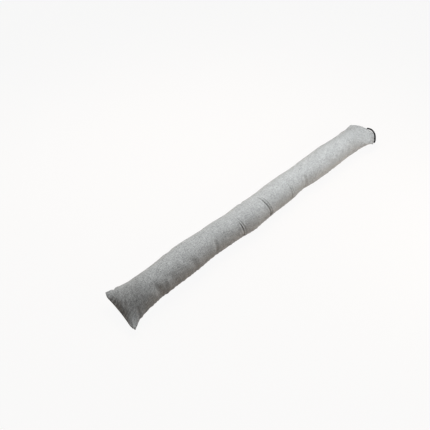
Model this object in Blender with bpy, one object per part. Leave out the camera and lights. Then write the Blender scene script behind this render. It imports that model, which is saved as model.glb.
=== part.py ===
# A filled cloth draught excluder, lying on the floor, with a short cord loop to hang it by.
# Metres, +Z up. +X runs along the cover from the plain end to the end with the loop.
# The origin is on the flat underside, half way between the two end seams.

import math
from collections import namedtuple

import bmesh
import bpy
from mathutils import Vector

# Driving dimensions of the cover
LENGTH = 0.896             # from end seam to end seam
TAPER = 0.085              # stretch over which the filled tube flattens into an end seam
SEAM_HALF = 0.0012         # half the thickness of the folded and sewn edges
BELLY = 0.46               # height of the widest line, as a share of the section's height
FLATTEN = 1.25             # how far the underside would sag past the floor, which cuts it flat
SEAM_POINT = 0.7           # how much sharper than an ellipse a section is at an end seam

# How each end seam lies
PLAIN_SEAM_Z = 0.0245      # height of the seam at the plain end
PLAIN_TILT = 0.0080        # its corner at +Y stands up by this, and the one at -Y hangs down
PLAIN_EARS = 0.003         # how far its two ears stand out past its middle
LOOP_SEAM_Z = 0.0375       # height of the seam at the end with the loop
LOOP_BULGE = 0.0165        # how far its middle is pushed out by the filling
LOOP_FULL = 4              # power of that bulge on the -Y half, which is squarer than the other
LOOP_ROUNDED = 2           # power of that bulge on the +Y half
LOOP_DROOP = 0.0200        # how far its corner at -Y hangs down

# The corners of the end seams
PLAIN_ROUND = 0.0050       # how far the corners at the plain end are rounded back
LOOP_ROUND = 0.0020        # how far the corners at the end with the loop are rounded back
CORNER = 0.3               # outer share of half a seam that is rounded
SEAM_ONLY = 6              # power that keeps rounding and droop close to a seam
DROOP_CURVE = 9            # power that keeps the droop close to its corner

# The mesh that the cover is shaped from
PLAIN_STEP = 0.0100        # distance between rings on a smooth stretch
FINE_STEP = 0.0017         # distance between rings on a crease
AROUND = 20                # faces across the top, and again across the underside
FOLD_ZONE = 1.4            # fine rings reach this many spreads to each side of a crease
SHARP_FOLD = 0.6           # a crease gets the finest rings if they fit its spread this often
END_ZONE = 0.02            # over this distance from an end seam the rings draw closer
END_CLOSE = 0.75           # how close they come there, where 1 is the finest
SHARP_ANGLE = 60           # degrees between faces that make an edge look sharp

# The loop
CORD_DIAMETER = 0.0050
CORD_STEP = 1.7            # distance between the cord's points, in diameters
ROUTE_PARTS = 20           # straight parts that each stretch of the route is measured in

# Sections of the filled tube. The station runs from the plain end's seam.
Section = namedtuple("Section", "station width height sideways")
SECTIONS = (
    Section(0.000, 0.1060, 0.0010, -0.0020),
    Section(0.010, 0.0980, 0.0260, 0.0000),
    Section(0.022, 0.0950, 0.0430, 0.0025),
    Section(0.036, 0.0905, 0.0540, 0.0020),
    Section(0.055, 0.0815, 0.0625, 0.0005),
    Section(0.085, 0.0730, 0.0660, 0.0005),
    Section(0.120, 0.0745, 0.0665, 0.0015),
    Section(0.155, 0.0765, 0.0670, 0.0030),
    Section(0.190, 0.0770, 0.0670, 0.0040),
    Section(0.224, 0.0735, 0.0660, 0.0045),
    Section(0.261, 0.0695, 0.0645, 0.0050),
    Section(0.299, 0.0715, 0.0650, 0.0040),
    Section(0.339, 0.0705, 0.0645, 0.0015),
    Section(0.381, 0.0765, 0.0670, -0.0005),
    Section(0.418, 0.0735, 0.0660, 0.0005),
    Section(0.453, 0.0710, 0.0650, 0.0020),
    Section(0.488, 0.0725, 0.0655, 0.0030),
    Section(0.538, 0.0720, 0.0655, 0.0045),
    Section(0.584, 0.0650, 0.0630, 0.0070),
    Section(0.627, 0.0705, 0.0650, 0.0045),
    Section(0.672, 0.0740, 0.0660, 0.0040),
    Section(0.717, 0.0755, 0.0665, 0.0045),
    Section(0.767, 0.0730, 0.0655, 0.0040),
    Section(0.811, 0.0730, 0.0650, 0.0035),
    Section(0.841, 0.0835, 0.0550, 0.0045),
    Section(0.864, 0.0905, 0.0395, 0.0000),
    Section(0.882, 0.0910, 0.0225, -0.0015),
    Section(0.896, 0.0870, 0.0010, -0.0005),
)

# Folds across the cover. Each starts at the side seam on -Y, or for edge 1 at the edge on +Y,
# and climbs over the top. lean is how much farther on it lies at the crown, reach is how far
# round it goes in degrees, and a negative depth is a raised fold.
Fold = namedtuple("Fold", "edge station lean reach depth spread")
FOLDS = (
    Fold(-1, 0.023, 0.012, 60, 0.0022, 0.0035),
    Fold(-1, 0.088, -0.010, 75, 0.0026, 0.0065),
    Fold(-1, 0.108, 0.012, 50, -0.0012, 0.0050),
    Fold(-1, 0.132, -0.008, 60, 0.0018, 0.0070),
    Fold(-1, 0.189, -0.008, 60, 0.0015, 0.0070),
    Fold(-1, 0.256, 0.008, 62, 0.0020, 0.0040),
    Fold(-1, 0.342, -0.005, 85, 0.0036, 0.0024),
    Fold(-1, 0.349, -0.009, 100, 0.0022, 0.0022),
    Fold(-1, 0.438, -0.010, 145, 0.0042, 0.0026),
    Fold(-1, 0.445, -0.010, 125, 0.0038, 0.0024),
    Fold(-1, 0.524, -0.001, 110, 0.0034, 0.0026),
    Fold(-1, 0.531, -0.003, 75, 0.0022, 0.0024),
    Fold(-1, 0.589, 0.000, 65, 0.0024, 0.0040),
    Fold(-1, 0.700, -0.006, 50, 0.0014, 0.0070),
    Fold(-1, 0.792, 0.004, 55, 0.0014, 0.0070),
    Fold(1, 0.020, 0.004, 40, 0.0025, 0.0035),
    Fold(1, 0.160, 0.006, 50, 0.0016, 0.0060),
    Fold(1, 0.395, -0.004, 60, 0.0020, 0.0045),
    Fold(1, 0.610, 0.005, 55, 0.0018, 0.0050),
    Fold(1, 0.745, -0.005, 50, 0.0015, 0.0065),
)
BELOW_SEAM = 40            # degrees that a fold runs on below the side seam
FULL_REACH = 0.45          # share of its reach over which a fold keeps its full depth
FOLD_LIMIT = 6             # spreads from its line at which a fold has ended
LIP = 0.3                  # height of the swell beside a fold, as a share of its depth
LIP_OFF = 2.2              # spreads from a fold's line to the top of that swell
LIP_SPREAD = 1.1           # spread of that swell, in the fold's own spreads

# The route of the loop, from the middle of the end seam round to its corner at -Y
LOOP_ROUTE = (
    (0.4670, -0.0012, 0.0384),
    (0.4705, -0.0052, 0.0381),
    (0.4719, -0.0112, 0.0382),
    (0.4700, -0.0190, 0.0383),
    (0.4660, -0.0268, 0.0373),
    (0.4625, -0.0335, 0.0338),
    (0.4580, -0.0392, 0.0275),
    (0.4540, -0.0430, 0.0210),
    (0.4500, -0.0438, 0.0169),
)


def ease(x):
    x = min(max(x, 0.0), 1.0)
    return x * x * (3 - 2 * x)


def along(station, field):
    """The value of one column of SECTIONS at a station, on a smooth curve through the rows."""
    last = len(SECTIONS) - 2
    i = 0
    while i < last and station > SECTIONS[i + 1].station:
        i += 1

    def slope(k):
        low = max(k - 1, 0)
        high = min(k + 1, last + 1)
        rise = getattr(SECTIONS[high], field) - getattr(SECTIONS[low], field)
        return rise / (SECTIONS[high].station - SECTIONS[low].station)

    a = SECTIONS[i]
    b = SECTIONS[i + 1]
    gap = b.station - a.station
    t = (station - a.station) / gap
    value = (2 * t**3 - 3 * t**2 + 1) * getattr(a, field) + (3 * t**2 - 2 * t**3) * getattr(b, field)
    return value + gap * ((t**3 - 2 * t**2 + t) * slope(i) + (t**3 - t**2) * slope(i + 1))


def fold_depth(station, around):
    """How far all the folds together sink the cloth at a station and an angle round the section."""
    depth = 0.0
    for fold in FOLDS:
        up = around if fold.edge < 0 else math.copysign(180, around) - around
        line = fold.station + fold.lean * min(max(up, 0), fold.reach) / 90
        off = (station - line) / fold.spread
        if abs(off) > FOLD_LIMIT:
            continue
        if up >= 0:
            strength = 1 - ease((up / fold.reach - FULL_REACH) / (1 - FULL_REACH))
        else:
            strength = 1 - ease(-up / BELOW_SEAM)
        swell = math.exp(-((abs(off) - LIP_OFF) / LIP_SPREAD) ** 2)
        depth += fold.depth * strength * (math.exp(-off * off) - LIP * swell)
    return depth


def cover_point(station, angle, side):
    """A point of the cloth. angle runs from 0 at the side seam on -Y to pi at the edge on +Y,
    over the top for side 1 and along the underside for side -1."""
    width = along(station, "width")
    height = along(station, "height")
    plain = 1 - ease(station / TAPER)
    loop = 1 - ease((LENGTH - station) / TAPER)
    end = max(plain, loop)
    across = -math.cos(angle)
    belly = BELLY * height
    arc = math.sin(angle) ** (1 + SEAM_POINT * end)
    if side > 0:
        bulge = (1 - end) * (height - belly) + end * height / 2
    else:
        bulge = -FLATTEN * (1 - end) * belly - end * height / 2
    corner = max(abs(across) - (1 - CORNER), 0) / CORNER
    x = station - LENGTH / 2
    fullness = LOOP_FULL if across < 0 else LOOP_ROUNDED
    x += loop**2 * LOOP_BULGE * (1 - abs(across)**fullness) - plain**2 * PLAIN_EARS * across**2
    x += (plain**SEAM_ONLY * PLAIN_ROUND - loop**SEAM_ONLY * LOOP_ROUND) * corner**2
    y = along(station, "sideways") + across * width / 2
    z = (1 - end) * belly + plain * PLAIN_SEAM_Z + loop * LOOP_SEAM_Z
    z += plain**2 * PLAIN_TILT * across
    z -= loop**SEAM_ONLY * LOOP_DROOP * ((1 - across) / 2) ** DROOP_CURVE
    z += side * SEAM_HALF + bulge * arc
    around = math.degrees(angle) * side
    outward = Vector((0, across, side * math.sin(angle)))
    point = Vector((x, y, z)) - outward * fold_depth(station, around)
    point.z = max(point.z, 0.0)
    return point


def ring_stations():
    """Stations of the cover's rings, close together on the folds and at the ends."""
    stations = [0.0]
    while stations[-1] < LENGTH:
        here = stations[-1]
        closeness = max(
            math.exp(-((here - f.station - f.lean / 2) / (FOLD_ZONE * f.spread + abs(f.lean) / 2)) ** 2)
            * min(1.0, FINE_STEP / (SHARP_FOLD * f.spread))
            for f in FOLDS
        )
        edge = math.exp(-min(here, LENGTH - here) / END_ZONE)
        closeness = max(closeness, END_CLOSE * edge)
        stations.append(here + PLAIN_STEP + (FINE_STEP - PLAIN_STEP) * closeness)
    return [station * LENGTH / stations[-1] for station in stations]


def make_material(name, colour, roughness):
    material = bpy.data.materials.new(name)
    material.use_nodes = True
    shader = material.node_tree.nodes["Principled BSDF"]
    shader.inputs["Base Color"].default_value = (*colour, 1)
    shader.inputs["Roughness"].default_value = roughness
    shader.inputs["Metallic"].default_value = 0.0
    return material


def make_cover(collection):
    """The filled cover, cut into rings from a box and drawn out to its sections and folds."""
    stations = ring_stations()
    rings = len(stations) - 1
    mesh = bmesh.new()
    bmesh.ops.create_cube(mesh, size=1)
    lengthwise = [e for e in mesh.edges if abs(e.verts[0].co.x - e.verts[1].co.x) > 0.5]
    bmesh.ops.subdivide_edges(mesh, edges=lengthwise, cuts=rings - 1, use_grid_fill=True)
    crosswise = [e for e in mesh.edges if abs(e.verts[0].co.y - e.verts[1].co.y) > 0.5]
    bmesh.ops.subdivide_edges(mesh, edges=crosswise, cuts=AROUND - 1, use_grid_fill=True)
    for vert in mesh.verts:
        station = stations[round((vert.co.x + 0.5) * rings)]
        angle = (vert.co.y + 0.5) * math.pi
        vert.co = cover_point(station, angle, math.copysign(1, vert.co.z))
    bmesh.ops.recalc_face_normals(mesh, faces=mesh.faces)
    data = bpy.data.meshes.new("cover")
    mesh.to_mesh(data)
    mesh.free()
    data.shade_smooth()
    data.set_sharp_from_angle(angle=math.radians(SHARP_ANGLE))
    cover = bpy.data.objects.new("cover", data)
    data.materials.append(make_material("light grey cloth", (0.40, 0.40, 0.39), 0.95))
    collection.objects.link(cover)


def smooth_route(route, step):
    """Points a step apart on a smooth curve through the route's points."""
    points = [Vector(p) for p in route]
    fine = []
    for i in range(len(points) - 1):
        before = points[max(i - 1, 0)]
        a = points[i]
        b = points[i + 1]
        after = points[min(i + 2, len(points) - 1)]
        for k in range(ROUTE_PARTS):
            t = k / ROUTE_PARTS
            fine.append(0.5 * (2 * a + (b - before) * t + (2 * before - 5 * a + 4 * b - after) * t**2
                               + (3 * a - before - 3 * b + after) * t**3))
    fine.append(points[-1])
    length = sum((q - p).length for p, q in zip(fine, fine[1:]))
    count = round(length / step)
    spaced = [fine[0]]
    walked = 0.0
    for p, q in zip(fine, fine[1:]):
        walked += (q - p).length
        if walked >= length * len(spaced) / count - 1e-9:
            spaced.append(q)
    return spaced


def make_loop(collection):
    """The hanging loop, a cord with both its ends at the end seam."""
    points = smooth_route(LOOP_ROUTE, CORD_STEP * CORD_DIAMETER)
    curve = bpy.data.curves.new("hanging_loop", "CURVE")
    curve.dimensions = "3D"
    spline = curve.splines.new("POLY")
    spline.points.add(len(points) - 1)
    for target, point in zip(spline.points, points):
        target.co = (*point, 1)
    curve.bevel_depth = CORD_DIAMETER / 2
    curve.bevel_resolution = 2
    curve.use_fill_caps = True
    curve.materials.append(make_material("black cord", (0.012, 0.012, 0.013), 0.7))
    collection.objects.link(bpy.data.objects.new("hanging_loop", curve))


def main():
    for obj in list(bpy.data.objects):
        bpy.data.objects.remove(obj)
    collection = bpy.data.collections.new("draught_excluder")
    bpy.context.scene.collection.children.link(collection)
    make_cover(collection)
    make_loop(collection)


main()
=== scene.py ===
import math
import bmesh
import bpy
import numpy as np
from mathutils import Matrix, Vector, noise


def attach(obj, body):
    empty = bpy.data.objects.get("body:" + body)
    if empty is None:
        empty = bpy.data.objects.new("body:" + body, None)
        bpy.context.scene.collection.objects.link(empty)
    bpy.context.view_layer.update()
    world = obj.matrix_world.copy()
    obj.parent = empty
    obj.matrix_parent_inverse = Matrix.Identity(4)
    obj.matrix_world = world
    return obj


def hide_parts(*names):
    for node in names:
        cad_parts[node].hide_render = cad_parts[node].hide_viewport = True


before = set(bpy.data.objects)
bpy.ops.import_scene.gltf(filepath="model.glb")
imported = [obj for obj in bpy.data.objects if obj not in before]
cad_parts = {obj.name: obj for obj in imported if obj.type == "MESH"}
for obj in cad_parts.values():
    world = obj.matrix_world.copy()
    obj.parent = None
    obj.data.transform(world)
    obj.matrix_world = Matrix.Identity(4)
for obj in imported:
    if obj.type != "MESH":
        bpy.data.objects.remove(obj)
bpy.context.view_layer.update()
scene = bpy.context.scene
print("frame loaded")


# camera

photoCamera = {
    "place": (-0.6012, -0.4643, 0.8129),
    "aim": (0.45736, 0.49373, -0.73963),
    "lens": 35.0,
    "sensor": 36.0,
}


def makeCamera():
    data = bpy.data.cameras.new("photoCamera")
    data.lens = photoCamera["lens"]
    data.sensor_width = photoCamera["sensor"]
    camera = bpy.data.objects.new("photoCamera", data)
    camera.location = photoCamera["place"]
    camera.rotation_euler = Vector(photoCamera["aim"]).to_track_quat("-Z", "Y").to_euler()
    scene.collection.objects.link(camera)
    scene.camera = camera


makeCamera()
print("camera made")


# material helpers

noiseDetail = 3.0          # octaves in each noise texture
tiny = 1e-9                # keeps a comparison or a division safe


def newMaterial(name, roughness):
    material = bpy.data.materials.new(name)
    material.use_nodes = True
    shader = material.node_tree.nodes["Principled BSDF"]
    shader.inputs["Roughness"].default_value = roughness
    return material, material.node_tree, shader


def addNode(tree, kind, **settings):
    node = tree.nodes.new(kind)
    for key, value in settings.items():
        setattr(node, key, value)
    return node


def plug(tree, source, target):
    tree.links.new(source, target)


def mathNode(tree, operation, first, second=None, clamp=False):
    node = addNode(tree, "ShaderNodeMath", operation=operation, use_clamp=clamp)
    for socket, value in zip(node.inputs, (first, second)):
        if value is None:
            continue
        if isinstance(value, (int, float)):
            socket.default_value = value
        else:
            plug(tree, value, socket)
    return node.outputs[0]


def stretchedNoise(tree, vector, scale):
    # noise whose grains are drawn out: scale is grains to a metre along each direction
    mapping = addNode(tree, "ShaderNodeMapping")
    mapping.inputs["Scale"].default_value = scale
    plug(tree, vector, mapping.inputs["Vector"])
    grain = addNode(tree, "ShaderNodeTexNoise")
    grain.inputs["Scale"].default_value = 1.0
    grain.inputs["Detail"].default_value = noiseDetail
    plug(tree, mapping.outputs["Vector"], grain.inputs["Vector"])
    return grain.outputs["Fac"]


def mapRange(tree, value, low, high, newLow, newHigh):
    node = addNode(tree, "ShaderNodeMapRange")
    limits = {"From Min": low, "From Max": high, "To Min": newLow, "To Max": newHigh}
    for name, number in limits.items():
        node.inputs[name].default_value = number
    plug(tree, value, node.inputs["Value"])
    return node.outputs["Result"]


# hanging loop

loopCord = {
    "diameter": 0.0050,
    "strands": 8,          # plaited strands seen round the cord
    "plaitLength": 0.0075, # one turn of a strand
    "relief": 0.00022,     # from the groove between two strands to the top of one
    "level": 0.85,         # height on a strand that lies at the cord's own radius
    "sides": 32,
    "step": 0.0006,        # between rings of the mesh
    "fineness": 60,        # points on the curve between two points of the route
    "weld": 1e-6,          # points this near to each other become one
    "route": [
        (0.4670, -0.0012, 0.0384),
        (0.4705, -0.0052, 0.0381),
        (0.4719, -0.0112, 0.0382),
        (0.4700, -0.0190, 0.0383),
        (0.4660, -0.0268, 0.0373),
        (0.4625, -0.0335, 0.0338),
        (0.4580, -0.0392, 0.0275),
        (0.4540, -0.0430, 0.0210),
        (0.4500, -0.0438, 0.0169),
    ],
    "color": (0.005, 0.005, 0.006),
    "fleck": (0.02, 0.02, 0.022),
    "fleckRange": (0.35, 0.75),
    "fibres": 2600,        # to a metre
    "bump": 0.35,
    "bumpHeight": 0.0002,
    "roughness": 0.62,
    "sheen": 0.05,
    "sheenRoughness": 0.5,
    "specular": 0.15,
}


def smoothRoute(route, step, fineness):
    # a smooth curve through the route's points, cut at even steps, and its length
    points = [Vector(p) for p in route]
    fine = []
    for i in range(len(points) - 1):
        before, a, b = points[max(i - 1, 0)], points[i], points[i + 1]
        after = points[min(i + 2, len(points) - 1)]
        for k in range(fineness):
            t = k / fineness
            bend = (2 * before - 5 * a + 4 * b - after) * t**2
            twist = (3 * a - before - 3 * b + after) * t**3
            fine.append(0.5 * (2 * a + (b - before) * t + bend + twist))
    fine.append(points[-1])
    total = sum((q - p).length for p, q in zip(fine, fine[1:]))
    count = round(total / step)
    spaced, walked = [fine[0]], 0.0
    for p, q in zip(fine, fine[1:]):
        walked += (q - p).length
        if walked >= total * len(spaced) / count - tiny:
            spaced.append(q)
    return spaced, total


def cordMaterial():
    material, tree, shader = newMaterial("blackCord", loopCord["roughness"])
    place = addNode(tree, "ShaderNodeTexCoord").outputs["Object"]
    fibres = stretchedNoise(tree, place, [loopCord["fibres"]] * 3)
    ramp = addNode(tree, "ShaderNodeValToRGB")
    stops = ramp.color_ramp.elements
    for stop, position, name in zip(stops, loopCord["fleckRange"], ("color", "fleck")):
        stop.position = position
        stop.color = (*loopCord[name], 1)
    plug(tree, fibres, ramp.inputs["Fac"])
    plug(tree, ramp.outputs["Color"], shader.inputs["Base Color"])
    bump = addNode(tree, "ShaderNodeBump")
    bump.inputs["Strength"].default_value = loopCord["bump"]
    bump.inputs["Distance"].default_value = loopCord["bumpHeight"]
    plug(tree, fibres, bump.inputs["Height"])
    plug(tree, bump.outputs["Normal"], shader.inputs["Normal"])
    shader.inputs["Specular IOR Level"].default_value = loopCord["specular"]
    shader.inputs["Sheen Weight"].default_value = loopCord["sheen"]
    shader.inputs["Sheen Roughness"].default_value = loopCord["sheenRoughness"]
    return material


def extrudeRing(mesh, ring):
    # a new ring joined to this one, its vertices in the same order
    old = set(ring)
    edges = list({e for v in ring for e in v.link_edges if e.other_vert(v) in old})
    made = bmesh.ops.extrude_edge_only(mesh, edges=edges)["geom"]
    partner = {}
    for v in made:
        if isinstance(v, bmesh.types.BMVert):
            for e in v.link_edges:
                if e.other_vert(v) in old:
                    partner[e.other_vert(v)] = v
    return [partner[v] for v in ring]


def makeLoop():
    route, total = smoothRoute(loopCord["route"], loopCord["step"], loopCord["fineness"])
    mesh = bmesh.new()
    circle = bmesh.ops.create_circle(mesh, cap_ends=False, segments=loopCord["sides"], radius=1.0)
    ring = circle["verts"]
    angles = [math.atan2(v.co.y, v.co.x) for v in ring]
    radius = loopCord["diameter"] / 2 - loopCord["relief"] / 2
    waves = loopCord["strands"] / 4  # half the strands wind each way, and a wave makes two
    side = Vector((0, 0, 1))
    firstRing = list(ring)
    for i, point in enumerate(route):
        ahead = (route[min(i + 1, len(route) - 1)] - route[max(i - 1, 0)]).normalized()
        side = (side - ahead * side.dot(ahead)).normalized()
        other = ahead.cross(side)
        if i:
            ring = extrudeRing(mesh, ring)
        walked = i * total / (len(route) - 1)
        turn = 2 * math.pi * walked / loopCord["plaitLength"]
        for vert, angle in zip(ring, angles):
            over = max(abs(math.cos(waves * (angle + way))) for way in (turn, -turn))
            reach = radius + loopCord["relief"] * (over - loopCord["level"])
            vert.co = point + (side * math.cos(angle) + other * math.sin(angle)) * reach
    for end in (firstRing, ring):
        middle = sum((v.co for v in end), Vector()) / len(end)
        cap = extrudeRing(mesh, end)
        for v in cap:
            v.co = middle
        bmesh.ops.remove_doubles(mesh, verts=cap, dist=loopCord["weld"])
    bmesh.ops.recalc_face_normals(mesh, faces=mesh.faces)
    data = bpy.data.meshes.new("hangingLoop")
    mesh.to_mesh(data)
    mesh.free()
    data.shade_smooth()
    data.materials.append(cordMaterial())
    loop = bpy.data.objects.new("hangingLoop", data)
    scene.collection.objects.link(loop)
    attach(loop, "root")
    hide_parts("hanging_loop")


makeLoop()
print("hanging loop made")


# cover

coverShape = {
    "length": 0.896,
    "taper": 0.085,        # stretch over which the tube flattens into an end seam
    "seamHalf": 0.0012,    # half the thickness of a sewn edge
    "belly": 0.46,         # height of the widest line, as a share of the height
    "flatten": 1.25,       # above 1 the floor presses the underside flat
    "seamPoint": 0.7,      # how pointed the sides get towards a seam
    "plainSeamZ": 0.0245,  # height of the plain end's seam
    "plainTilt": 0.0080,   # how far it rises from its middle to +Y
    "plainEars": 0.003,    # how far its ends stand out beyond its middle
    "plainRound": 0.0050,  # how far its corners are rounded off
    "loopSeamZ": 0.0375,   # height of the seam that holds the loop
    "loopBulge": 0.0165,   # how far its middle stands out beyond its ends
    "loopFull": 4,         # how square the -Y half of that end is
    "loopRounded": 2,      # and the +Y half, where 2 is round
    "loopDroop": 0.0200,   # how far its -Y corner hangs
    "loopRound": 0.0020,
    "corner": 0.3,         # outer share of half a seam that is rounded
    "seamOnly": 6,         # power that keeps rounding and droop close to a seam
    "droopCurve": 9,       # power that keeps the droop close to its corner
    # station, width, height, sideways
    "sections": [
        (0.000, 0.1060, 0.0010, -0.0020),
        (0.010, 0.0980, 0.0260, 0.0000),
        (0.022, 0.0950, 0.0430, 0.0025),
        (0.036, 0.0905, 0.0540, 0.0020),
        (0.055, 0.0815, 0.0625, 0.0005),
        (0.085, 0.0730, 0.0660, 0.0005),
        (0.120, 0.0745, 0.0665, 0.0015),
        (0.155, 0.0765, 0.0670, 0.0030),
        (0.190, 0.0770, 0.0670, 0.0040),
        (0.224, 0.0735, 0.0660, 0.0045),
        (0.261, 0.0695, 0.0645, 0.0050),
        (0.299, 0.0715, 0.0650, 0.0040),
        (0.339, 0.0705, 0.0645, 0.0015),
        (0.381, 0.0765, 0.0670, -0.0005),
        (0.418, 0.0735, 0.0660, 0.0005),
        (0.453, 0.0710, 0.0650, 0.0020),
        (0.488, 0.0725, 0.0655, 0.0030),
        (0.538, 0.0720, 0.0655, 0.0045),
        (0.584, 0.0650, 0.0630, 0.0070),
        (0.627, 0.0705, 0.0650, 0.0045),
        (0.672, 0.0740, 0.0660, 0.0040),
        (0.717, 0.0755, 0.0665, 0.0045),
        (0.767, 0.0730, 0.0655, 0.0040),
        (0.811, 0.0730, 0.0650, 0.0035),
        (0.841, 0.0835, 0.0550, 0.0045),
        (0.864, 0.0905, 0.0395, 0.0000),
        (0.882, 0.0910, 0.0225, -0.0015),
        (0.896, 0.0870, 0.0010, -0.0005),
    ],
    # side it starts at, station, lean over 90 degrees, reach in degrees, depth, spread
    "folds": [
        (-1, 0.023, 0.012, 60, 0.0010, 0.0035),
        (-1, 0.088, -0.010, 75, 0.0019, 0.0065),
        (-1, 0.108, 0.012, 50, -0.0012, 0.0050),
        (-1, 0.132, -0.008, 60, 0.0013, 0.0070),
        (-1, 0.189, -0.008, 60, 0.0015, 0.0070),
        (-1, 0.256, 0.008, 62, 0.0020, 0.0040),
        (-1, 0.342, -0.005, 85, 0.0018, 0.0013),
        (-1, 0.349, -0.009, 100, 0.0013, 0.0012),
        (-1, 0.438, -0.010, 145, 0.0027, 0.0016),
        (-1, 0.445, -0.010, 125, 0.0022, 0.0014),
        (-1, 0.524, -0.001, 110, 0.0022, 0.0015),
        (-1, 0.531, -0.003, 75, 0.0014, 0.0014),
        (-1, 0.589, 0.000, 65, 0.0024, 0.0040),
        (-1, 0.700, -0.006, 50, 0.0014, 0.0070),
        (-1, 0.792, 0.004, 55, 0.0014, 0.0070),
        (1, 0.020, 0.004, 40, 0.0025, 0.0035),
        (1, 0.160, 0.006, 50, 0.0016, 0.0060),
        (1, 0.395, -0.004, 60, 0.0020, 0.0045),
        (1, 0.610, 0.005, 55, 0.0018, 0.0050),
        (1, 0.745, -0.005, 50, 0.0015, 0.0065),
    ],
    "belowSeam": 40,       # degrees that a fold runs on below the side seam
    "fullReach": 0.45,     # share of its reach over which a fold keeps its depth
    "lip": 0.3,            # swell beside a fold: its height, place and spread
    "lipOff": 2.2,
    "lipSpread": 1.1,
    "plainStep": 0.0066,   # between rings of the mesh on a smooth stretch
    "fineStep": 0.0018,    # and on a fold
    "foldZone": 1.4,       # fine rings reach this many spreads from a fold
    "sharpFold": 0.8,      # the lower, the broader the folds that get them too
    "endZone": 0.02,       # over this distance from an end the rings draw closer
    "endClose": 0.8,       # how close, where 1 is a fine step
    "around": 34,          # faces across the top, and again across the underside
}

coverDetail = {
    "inset": 0.0018,       # the cover starts this much smaller and is blown up to size
    "pressure": 4.0,
    "frames": 20,
    "cap": 0.0036,         # most that a point may move
    "seamAngle": -20,      # the long seam lies this many degrees below the widest line
    "seamDepth": 0.0011,
    "seamSpread": 3.2,     # degrees
    "seamLip": 0.45,       # swell beside the seam: its height, place and spread
    "seamLipOff": 1.9,
    "seamLipSpread": 0.9,
    "gatherPitch": 0.0115,
    "gatherDepth": 0.00050,
    "gatherReach": 26,     # degrees to each side of the long seam
    "endPitch": 0.0095,
    "endDepth": 0.00085,
    "endReach": 0.020,
    "endFade": 1.5,        # power of the gathers' fading there
    "seamEdge": 0.003,     # the sewn edge itself stays plain
    "wander": 1.3,         # how far the gathers stray, in pitches
    "wanderGrain": 28,
    "uneven": 1.2,         # how much their depth varies
    "unevenGrain": 55,
    "lumpDepth": 0.0009,
    "lumpGrain": (32, 75), # broad and small lumps to a metre
    "lumpStretch": 0.55,   # below 1 the broad ones are drawn out along the cover
    "lumpSmall": 0.5,      # depth of the small ones beside the broad
    "noiseShift": (7.3, 3.1, 5.7),
    "lumpEnd": 0.03,       # lumps fade out towards the end seams
    "sewnReach": 0.05,     # from an end seam to where the filling has its way
    "looseness": 0.6,      # how far it has its way there
    "girth": 0.222,        # of the flat cloth, round the cover
    "stiffness": {"tension": 18, "compression": 6, "shear": 4, "bending": 0.08},
    "quality": 6,
    "weight": 0.25,
}


def ease(x):
    x = np.clip(x, 0.0, 1.0)
    return x * x * (3 - 2 * x)


def along(station, column):
    # one column of the sections, on a smooth curve through the rows
    rows = np.array(coverShape["sections"])
    xs, ys = rows[:, 0], rows[:, column]
    last = len(xs) - 1
    low, high = np.maximum(np.arange(len(xs)) - 1, 0), np.minimum(np.arange(len(xs)) + 1, last)
    slopes = (ys[high] - ys[low]) / (xs[high] - xs[low])
    i = np.clip(np.searchsorted(xs, station, side="left") - 1, 0, last - 1)
    gap = xs[i + 1] - xs[i]
    t = (station - xs[i]) / gap
    value = (2 * t**3 - 3 * t**2 + 1) * ys[i] + (3 * t**2 - 2 * t**3) * ys[i + 1]
    return value + gap * ((t**3 - 2 * t**2 + t) * slopes[i] + (t**3 - t**2) * slopes[i + 1])


def foldDepth(station, around):
    # how far the folds sink the cloth; around is degrees up from the side seam, below 0 underneath
    s = coverShape
    depth = np.zeros_like(station)
    for edge, start, lean, reach, deep, spread in s["folds"]:
        up = around if edge < 0 else np.copysign(180.0, around) - around
        line = start + lean * np.clip(up, 0, reach) / 90
        off = (station - line) / spread
        fading = ease((up / reach - s["fullReach"]) / (1 - s["fullReach"]))
        strength = 1 - np.where(up >= 0, fading, ease(-up / s["belowSeam"]))
        swell = np.exp(-((np.abs(off) - s["lipOff"]) / s["lipSpread"]) ** 2)
        depth += deep * strength * (np.exp(-off * off) - s["lip"] * swell)
    return depth


def coverPoints(station, angle, side):
    # the cover's surface, without folds; side is 1 on top and -1 underneath
    s = coverShape
    width, height, sideways = along(station, 1), along(station, 2), along(station, 3)
    plain = 1 - ease(station / s["taper"])
    loop = 1 - ease((s["length"] - station) / s["taper"])
    end = np.maximum(plain, loop)
    across = -np.cos(angle)
    belly = s["belly"] * height
    arc = np.sin(angle) ** (1 + s["seamPoint"] * end)
    top = (1 - end) * (height - belly) + end * height / 2
    under = -s["flatten"] * (1 - end) * belly - end * height / 2
    corner = np.maximum(np.abs(across) - (1 - s["corner"]), 0) / s["corner"]
    x = station - s["length"] / 2
    full = np.abs(across) ** np.where(across < 0, s["loopFull"], s["loopRounded"])
    x += loop**2 * s["loopBulge"] * (1 - full) - plain**2 * s["plainEars"] * across**2
    plainOnly, loopOnly = plain ** s["seamOnly"], loop ** s["seamOnly"]
    x += (plainOnly * s["plainRound"] - loopOnly * s["loopRound"]) * corner**2
    y = sideways + across * width / 2
    z = (1 - end) * belly + plain * s["plainSeamZ"] + loop * s["loopSeamZ"]
    z += plain**2 * s["plainTilt"] * across
    z -= loopOnly * s["loopDroop"] * ((1 - across) / 2) ** s["droopCurve"]
    z += side * s["seamHalf"] + np.where(side > 0, top, under) * arc
    return np.stack([x, y, z], axis=1)


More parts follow.
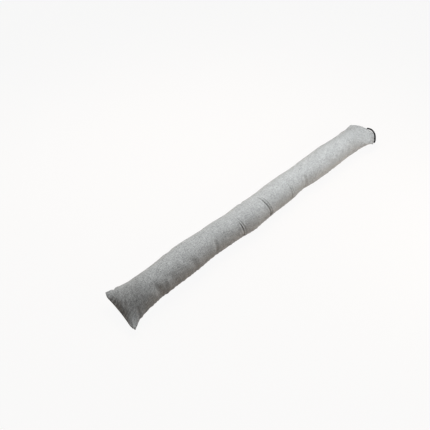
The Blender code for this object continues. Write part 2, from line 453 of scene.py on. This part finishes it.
def ringStations():
    # close together on the folds and at the ends
    s = coverShape
    stations = [0.0]
    while stations[-1] < s["length"]:
        here = stations[-1]
        close = s["endClose"] * math.exp(-min(here, s["length"] - here) / s["endZone"])
        for edge, start, lean, reach, deep, spread in s["folds"]:
            off = (here - start - lean / 2) / (s["foldZone"] * spread + abs(lean) / 2)
            sharp = min(1.0, s["fineStep"] / (s["sharpFold"] * spread))
            close = max(close, math.exp(-off * off) * sharp)
        stations.append(here + s["plainStep"] + (s["fineStep"] - s["plainStep"]) * close)
    return np.array(stations) * s["length"] / stations[-1]


def readPoints(mesh):
    points = np.empty(len(mesh.vertices) * 3, np.float32)
    mesh.vertices.foreach_get("co", points)
    return points.reshape(-1, 3).astype(float)


def readNormals(mesh):
    normals = np.empty(len(mesh.vertices) * 3, np.float32)
    mesh.vertex_normals.foreach_get("vector", normals)
    return normals.reshape(-1, 3).astype(float)


def writePoints(mesh, points):
    mesh.vertices.foreach_set("co", points.astype(np.float32).ravel())
    mesh.update()


def storeValues(mesh, name, values):
    layer = mesh.attributes.new(name, "FLOAT", "POINT")
    layer.data.foreach_set("value", values.astype(np.float32))


def readValues(mesh, name):
    values = np.empty(len(mesh.vertices), np.float32)
    mesh.attributes[name].data.foreach_get("value", values)
    return values.astype(float)


def clothPlaces(mesh):
    # each point's station, its turn across in radians, and 1 on top or -1 underneath
    return [readValues(mesh, name) for name in ("station", "turn", "side")]


def sewnTube():
    # a box cut into rings and drawn out to the cover's sections
    stations = ringStations()
    rings = len(stations) - 1
    mesh = bmesh.new()
    bmesh.ops.create_cube(mesh, size=1)
    for axis, faces in ((0, rings), (1, coverShape["around"])):
        edges = [e for e in mesh.edges if abs(e.verts[0].co[axis] - e.verts[1].co[axis]) > 0.5]
        bmesh.ops.subdivide_edges(mesh, edges=edges, cuts=faces - 1, use_grid_fill=True)
    data = bpy.data.meshes.new("cover")
    mesh.to_mesh(data)
    mesh.free()
    grid = readPoints(data)
    station = stations[np.round((grid[:, 0] + 0.5) * rings).astype(int)]
    angle = (np.clip(grid[:, 1], -0.5, 0.5) + 0.5) * math.pi
    side = np.sign(grid[:, 2])
    writePoints(data, coverPoints(station, angle, side))
    storeValues(data, "station", station)
    storeValues(data, "turn", angle)
    storeValues(data, "side", side)
    fixed = bmesh.new()
    fixed.from_mesh(data)
    bmesh.ops.recalc_face_normals(fixed, faces=fixed.faces)
    fixed.to_mesh(data)
    fixed.free()
    cover = bpy.data.objects.new("cover_cloth", data)
    scene.collection.objects.link(cover)
    return cover


def blowUp(cover):
    # the filling: cloth simulation with air pressure, and each point's move capped
    d = coverDetail
    mesh = cover.data
    full = readPoints(mesh)
    small = full - readNormals(mesh) * d["inset"]
    writePoints(mesh, small)
    cloth = cover.modifiers.new("filling", "CLOTH")
    cloth.settings.quality = d["quality"]
    cloth.settings.mass = d["weight"]
    for name, value in d["stiffness"].items():
        setattr(cloth.settings, name + "_stiffness", value)
    cloth.settings.use_pressure = True
    cloth.settings.uniform_pressure_force = d["pressure"]
    cloth.settings.effector_weights.gravity = 0
    cloth.collision_settings.use_collision = False
    cloth.point_cache.frame_start = 1
    cloth.point_cache.frame_end = d["frames"]
    for number in range(1, d["frames"] + 1):
        scene.frame_set(number)
    graph = bpy.context.evaluated_depsgraph_get()
    blown = readPoints(cover.evaluated_get(graph).data)
    cover.modifiers.remove(cloth)
    scene.frame_set(1)
    move = blown - small
    size = np.linalg.norm(move, axis=1, keepdims=True)
    move *= np.minimum(1, d["cap"] / np.maximum(size, tiny))
    points = small + move
    points[:, 2] = np.maximum(points[:, 2], 0)
    writePoints(mesh, points)
    print("filling blown up, mean move in mm", round(float(size.mean()) * 1000, 2))


def refine(cover):
    # one Subdivision Surface, applied
    smooth = cover.modifiers.new("smooth", "SUBSURF")
    smooth.levels = 1
    smooth.render_levels = 1
    graph = bpy.context.evaluated_depsgraph_get()
    mesh = bpy.data.meshes.new_from_object(cover.evaluated_get(graph), depsgraph=graph)
    cover.modifiers.remove(smooth)
    cover.data = mesh


def keepEnds(cover):
    # the cloth goes back to its sewn shape, wholly at the end seams and in part between them
    mesh = cover.data
    points = readPoints(mesh)
    station, turn, side = clothPlaces(mesh)
    sewn = coverPoints(station, np.clip(turn, 0, math.pi), side)
    fromEnd = np.minimum(station, coverShape["length"] - station)
    free = coverDetail["looseness"] * ease(fromEnd / coverDetail["sewnReach"])[:, None]
    points = sewn + (points - sewn) * free
    points[:, 2] = np.maximum(points[:, 2], 0)
    writePoints(mesh, points)


def noiseAt(points, scale, seed):
    shift = Vector([seed * part for part in coverDetail["noiseShift"]])
    return np.array([noise.noise(Vector(p) * scale + shift) for p in points])


def addFolds(cover):
    # folds, the long seam with its gathers, the end seams' gathers, and the lumps of the filling
    d = coverDetail
    mesh = cover.data
    points, normals = readPoints(mesh), readNormals(mesh)
    station, turn, side = clothPlaces(mesh)
    around = np.degrees(turn) * np.where(side >= 0, 1, -1)
    depth = foldDepth(station, around)
    offSeam = (around - d["seamAngle"]) / d["seamSpread"]
    lip = np.exp(-((np.abs(offSeam) - d["seamLipOff"]) / d["seamLipSpread"]) ** 2)
    depth += d["seamDepth"] * (np.exp(-offSeam**2) - d["seamLip"] * lip)
    wander = d["wander"] * noiseAt(points, d["wanderGrain"], 1)
    uneven = 1 + d["uneven"] * noiseAt(points, d["unevenGrain"], 2)
    nearSeam = np.exp(-((around - d["seamAngle"]) / d["gatherReach"]) ** 2)
    gathers = np.sin(2 * math.pi * (station / d["gatherPitch"] + wander))
    depth += d["gatherDepth"] * nearSeam * uneven * gathers
    fromEnd = np.maximum(np.minimum(station, coverShape["length"] - station), 0)
    nearEnd = np.exp(-(fromEnd / d["endReach"]) ** d["endFade"])
    nearEnd *= np.clip(fromEnd / d["seamEdge"], 0, 1)
    arc = turn / math.pi * d["girth"] / 2
    depth += d["endDepth"] * nearEnd * uneven * np.sin(2 * math.pi * (arc / d["endPitch"] + wander))
    broad, small = d["lumpGrain"]
    lumps = noiseAt(points * np.array([d["lumpStretch"], 1, 1]), broad, 3)
    lumps += d["lumpSmall"] * noiseAt(points, small, 4)
    depth -= d["lumpDepth"] * lumps * ease(fromEnd / d["lumpEnd"])
    points -= normals * depth[:, None]
    points[:, 2] = np.maximum(points[:, 2], 0)
    writePoints(mesh, points)


def clothMap(cover):
    # the cloth's own map, in metres: along the cover and round it
    mesh = cover.data
    station, turn, side = clothPlaces(mesh)
    corners = np.empty(len(mesh.loops), np.int32)
    mesh.loops.foreach_get("vertex_index", corners)
    starts = np.empty(len(mesh.polygons), np.int32)
    counts = np.empty(len(mesh.polygons), np.int32)
    mesh.polygons.foreach_get("loop_start", starts)
    mesh.polygons.foreach_get("loop_total", counts)
    faceOf = np.repeat(np.arange(len(starts)), counts)
    sideSum = np.bincount(faceOf, weights=side[corners])
    faceSide = np.where(sideSum >= 0, 1, -1)[faceOf]
    roundIt = turn[corners] / math.pi * coverDetail["girth"] / 2 * faceSide
    places = np.stack([station[corners], roundIt], axis=1)
    layer = mesh.uv_layers.new(name="clothMap")
    layer.data.foreach_set("uv", places.astype(np.float32).ravel())


clothLook = {
    "thread": 0.00105,     # distance between threads
    "dark": (0.128, 0.13, 0.126),
    "light": (0.665, 0.672, 0.664),
    # grains to a metre along and across, and how much of the tone they make
    "slub": ((70, 900), 0.8),
    "mottle": ((330, 330), 0.46),
    "speckle": ((620, 620), 0.35),
    "broad": ((40, 40), 0.1),
    "noiseRange": (0.25, 0.75),
    "gapShade": 0.12,      # how much darker the gaps between threads are
    "gapEdge": 0.5,        # height on a thread up to which they reach
    "weaveBump": 0.35,
    "weaveHeight": 0.0005,
    "roughness": 0.95,
    "sheen": 0.12,
    "sheenRoughness": 0.6,
    "specular": 0.2,
}


def toneNoise(tree, uv, name, turned=False):
    # noise about zero, as strong as clothLook says
    grains, share = clothLook[name]
    if turned:
        grains = grains[::-1]
    grain = stretchedNoise(tree, uv, (*grains, 1))
    return mapRange(tree, grain, *clothLook["noiseRange"], -share / 2, share / 2)


def threadHill(tree, place):
    # 0 between two threads and 1 on top of one
    turn = mathNode(tree, "MULTIPLY", place, math.pi)
    return mathNode(tree, "ABSOLUTE", mathNode(tree, "SINE", turn))


def clothMaterial():
    material, tree, shader = newMaterial("greyHeather", clothLook["roughness"])
    uv = addNode(tree, "ShaderNodeUVMap", uv_map="clothMap").outputs["UV"]
    parts = addNode(tree, "ShaderNodeSeparateXYZ")
    plug(tree, uv, parts.inputs[0])
    u = mathNode(tree, "DIVIDE", parts.outputs["X"], clothLook["thread"])
    v = mathNode(tree, "DIVIDE", parts.outputs["Y"], clothLook["thread"])
    # plain weave: in every other cell the thread that runs along is on top
    cell = mathNode(tree, "ADD", mathNode(tree, "FLOOR", u), mathNode(tree, "FLOOR", v))
    lengthOnTop = mathNode(tree, "ABSOLUTE", mathNode(tree, "MODULO", cell, 2.0))
    hills = mathNode(tree, "MULTIPLY", threadHill(tree, u), threadHill(tree, v))
    # each thread has its own tone, drawn out along it
    pick = addNode(tree, "ShaderNodeMix", data_type="FLOAT")
    plug(tree, lengthOnTop, pick.inputs["Factor"])
    plug(tree, toneNoise(tree, uv, "slub", turned=True), pick.inputs[2])
    plug(tree, toneNoise(tree, uv, "slub"), pick.inputs[3])
    slub = pick.outputs[0]
    gaps = mapRange(tree, hills, 0.0, clothLook["gapEdge"], -clothLook["gapShade"], 0.0)
    tone = mathNode(tree, "ADD", slub, gaps)
    for name in ("mottle", "speckle", "broad"):
        tone = mathNode(tree, "ADD", tone, toneNoise(tree, uv, name))
    tone = mathNode(tree, "ADD", tone, 0.5, clamp=True)
    ramp = addNode(tree, "ShaderNodeValToRGB")
    ramp.color_ramp.elements[0].color = (*clothLook["dark"], 1)
    ramp.color_ramp.elements[1].color = (*clothLook["light"], 1)
    plug(tree, tone, ramp.inputs["Fac"])
    plug(tree, ramp.outputs["Color"], shader.inputs["Base Color"])
    bump = addNode(tree, "ShaderNodeBump")
    bump.inputs["Strength"].default_value = clothLook["weaveBump"]
    bump.inputs["Distance"].default_value = clothLook["weaveHeight"]
    plug(tree, mathNode(tree, "ADD", hills, slub), bump.inputs["Height"])
    plug(tree, bump.outputs["Normal"], shader.inputs["Normal"])
    shader.inputs["Sheen Weight"].default_value = clothLook["sheen"]
    shader.inputs["Sheen Roughness"].default_value = clothLook["sheenRoughness"]
    shader.inputs["Specular IOR Level"].default_value = clothLook["specular"]
    return material


def makeCover():
    cover = sewnTube()
    blowUp(cover)
    refine(cover)
    keepEnds(cover)
    addFolds(cover)
    clothMap(cover)
    cover.data.shade_smooth()
    cover.data.materials.append(clothMaterial())
    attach(cover, "root")
    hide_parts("cover")
    print("cover made,", len(cover.data.polygons), "faces")


makeCover()


# floor and lights

studio = {
    "floorSize": 12.0,
    "floorDrop": 0.0004,   # below the cover's underside
    "floorColor": (0.5, 0.37, 0.27),
    "floorRoughness": 0.9,
    "floorSpecular": 0.1,
    "world": 0.03,         # how bright it is as a light
    "backdrop": 1.0,       # and as seen behind the floor
    "haze": 0.93,          # how far the floor is washed out to white
    # name, place, aim, size, watts, color
    "lights": [
        ("key", (0.25, 0.3, 0.9), (0.15, 0, 0), 0.5, 9.2, (0.98, 0.99, 1.0)),
        ("side", (-0.25, 0.6, 0.7), (-0.2, 0, 0), 0.6, 4.1, (1.0, 1.0, 1.0)),
        ("fillFar", (0.4, -0.6, 0.35), (0.22, 0, 0.03), 0.4, 3.3, (0.93, 0.97, 1.0)),
        ("fillNear", (0.25, -0.6, 0.35), (0.15, 0, 0.03), 0.4, 0.9, (0.96, 0.98, 1.0)),
    ],
}


def makeFloor():
    mesh = bmesh.new()
    bmesh.ops.create_grid(mesh, x_segments=1, y_segments=1, size=studio["floorSize"] / 2,
                          matrix=Matrix.Translation((0, 0, -studio["floorDrop"])))
    data = bpy.data.meshes.new("floor")
    mesh.to_mesh(data)
    mesh.free()
    material, tree, shader = newMaterial("paleFloor", studio["floorRoughness"])
    shader.inputs["Base Color"].default_value = (*studio["floorColor"], 1)
    shader.inputs["Specular IOR Level"].default_value = studio["floorSpecular"]
    # overexposed to near white, as a studio floor is
    white = addNode(tree, "ShaderNodeEmission")
    cameraRay = addNode(tree, "ShaderNodeLightPath").outputs["Is Camera Ray"]
    seen = mathNode(tree, "MULTIPLY", cameraRay, studio["haze"])
    blend = addNode(tree, "ShaderNodeMixShader")
    plug(tree, seen, blend.inputs["Fac"])
    plug(tree, shader.outputs[0], blend.inputs[1])
    plug(tree, white.outputs[0], blend.inputs[2])
    plug(tree, blend.outputs[0], tree.nodes["Material Output"].inputs["Surface"])
    data.materials.append(material)
    floor = bpy.data.objects.new("floor", data)
    scene.collection.objects.link(floor)


def makeLights():
    for name, place, aim, size, watts, color in studio["lights"]:
        data = bpy.data.lights.new(name, "AREA")
        data.shape = "DISK"
        data.size = size
        data.energy = watts
        data.color = color
        light = bpy.data.objects.new(name, data)
        light.location = place
        light.rotation_euler = (Vector(aim) - Vector(place)).to_track_quat("-Z", "Y").to_euler()
        scene.collection.objects.link(light)
    world = bpy.data.worlds.new("studioWorld")
    world.use_nodes = True
    tree = world.node_tree
    background = tree.nodes["Background"]
    background.inputs["Color"].default_value = (1.0, 1.0, 1.0, 1)
    cameraRay = addNode(tree, "ShaderNodeLightPath").outputs["Is Camera Ray"]
    strength = mapRange(tree, cameraRay, 0, 1, studio["world"], studio["backdrop"])
    plug(tree, strength, background.inputs["Strength"])
    scene.world = world
    scene.view_settings.view_transform = "Standard"


makeFloor()
makeLights()
print("floor and lights made")
